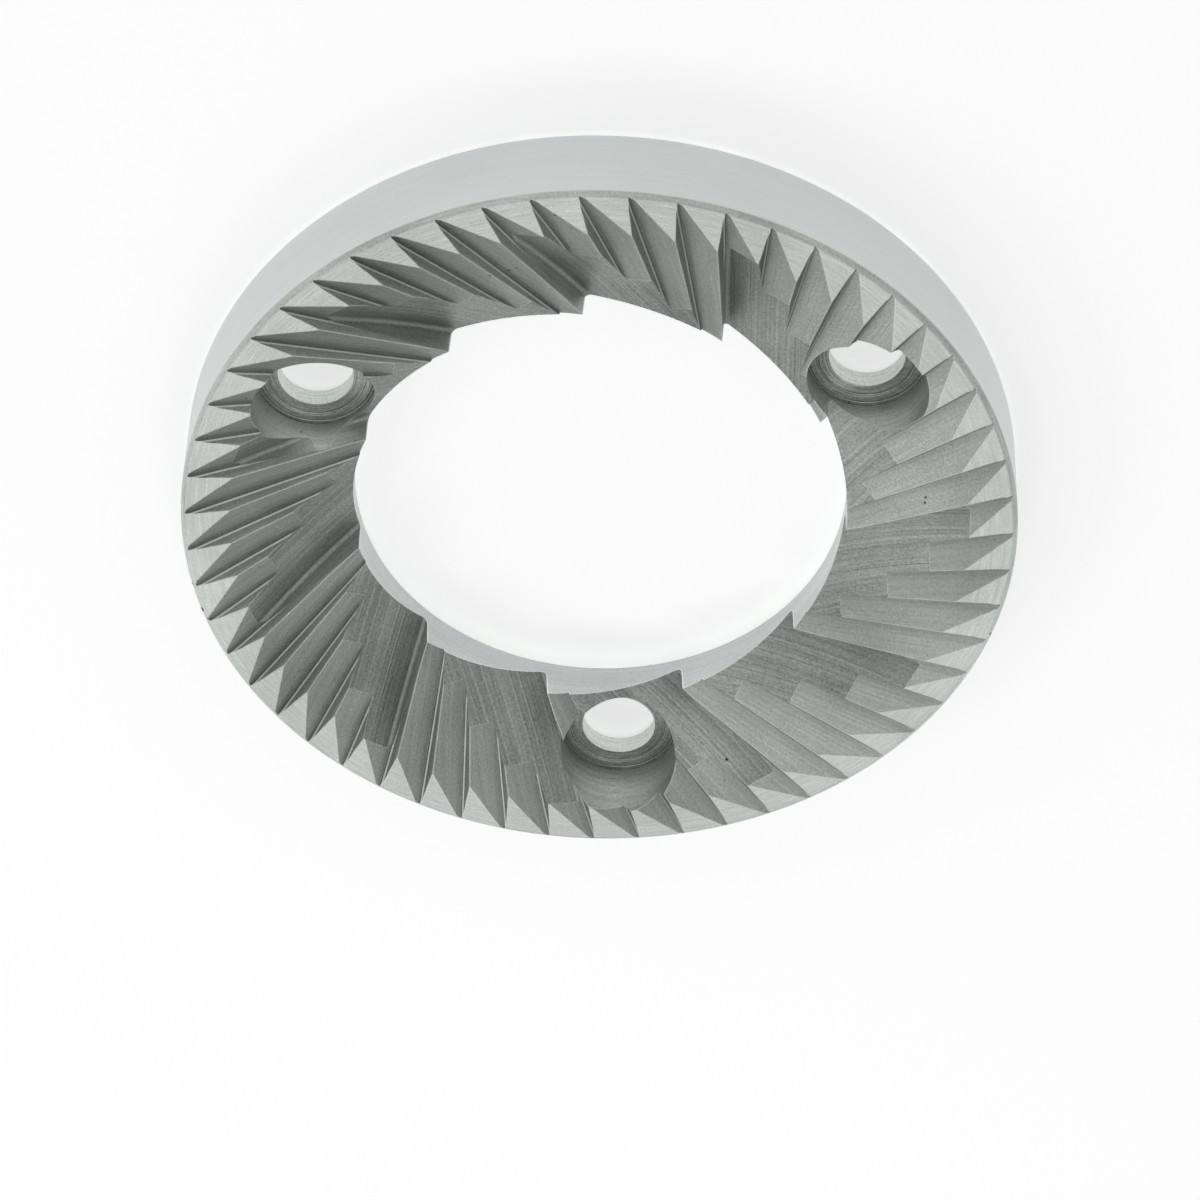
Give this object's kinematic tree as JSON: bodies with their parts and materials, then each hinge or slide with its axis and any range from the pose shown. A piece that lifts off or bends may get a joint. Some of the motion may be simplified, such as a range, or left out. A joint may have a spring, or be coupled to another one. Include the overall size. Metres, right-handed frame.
{
  "type": "coffee grinder burr",
  "caption": "Flat ring burr of a coffee grinder, with slanted cutting teeth, deep breaker grooves and counterbored screw holes.",
  "frame": {"origin": "centre of the back face, on the axis of the ring", "axes": "+Z along the axis, out of the toothed face; +Y through the first screw hole"},
  "size_m": [0.064, 0.064, 0.0075],
  "materials": {
    "ground_steel": "ground tool steel, satin, with fine grinding and milling lines"
  },
  "bodies": {
    "root": {"grinding_burr": "ground_steel"}
  },
  "joints": []
}
